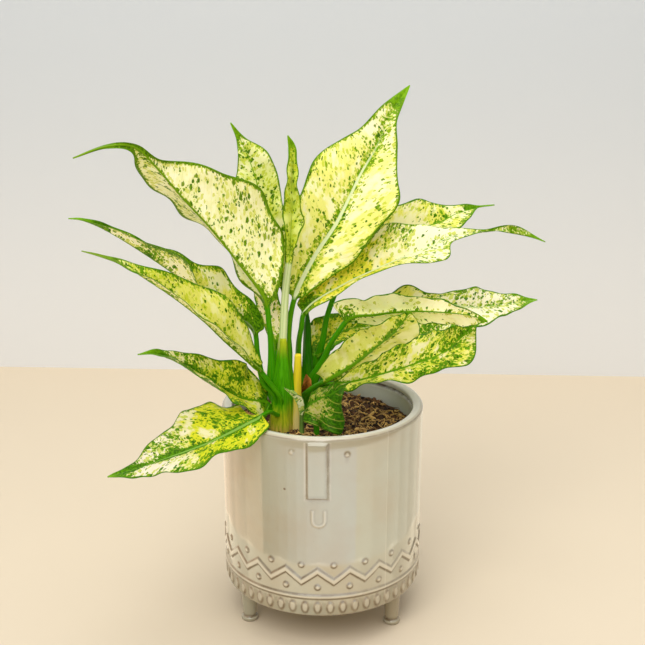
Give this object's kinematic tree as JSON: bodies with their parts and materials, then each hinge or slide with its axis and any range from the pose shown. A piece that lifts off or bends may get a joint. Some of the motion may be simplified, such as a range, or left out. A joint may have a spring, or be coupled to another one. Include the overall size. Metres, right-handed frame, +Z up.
{
  "type": "potted chinese evergreen",
  "caption": "Bushy variegated foliage plant with cream and lime leaves, rooted in potting mix in a footed stoneware planter with a simple face and zigzag band.",
  "frame": {"origin": "on the surface that the planter stands on, under the planter's axis, which is the middle of the whole plant's outline within a few millimetres", "axes": "+Z up, the planter's face looks towards -Y, +X to the right as seen from the front"},
  "size_m": [0.3094, 0.1914, 0.3662],
  "materials": {
    "stoneware": "glossy warm grey glaze, breaking tan on edges",
    "soil": "loose dark potting mix with bark and fibre",
    "stem": "smooth green stem",
    "stalk": "yellowed cut stalk",
    "dry": "dry brown papery sheath",
    "leaf": "satin leaf, cream and lime with green speckles and margin"
  },
  "bodies": {
    "root": {"planter": "stoneware", "potting_mix": "soil", "left_shoot": "stem", "right_shoot": "stem", "cut_stalk": "stalk", "dry_sheath": "dry", "leaf_upper_left": "leaf", "leaf_back_left": "leaf", "leaf_spear": "leaf", "leaf_top": "leaf", "leaf_right_back": "leaf", "leaf_long_right": "leaf", "leaf_right_front": "leaf", "leaf_right_mid": "leaf", "leaf_low_right": "leaf", "leaf_low_back": "leaf", "leaf_yellow_front": "leaf", "leaf_inner_yellow": "leaf", "leaf_crumpled": "leaf", "leaf_low_left": "leaf", "leaf_over_rim": "leaf", "leaf_left_high": "leaf", "leaf_left_mid": "leaf", "leaf_behind": "leaf", "leaf_baby": "leaf"}
  },
  "joints": []
}
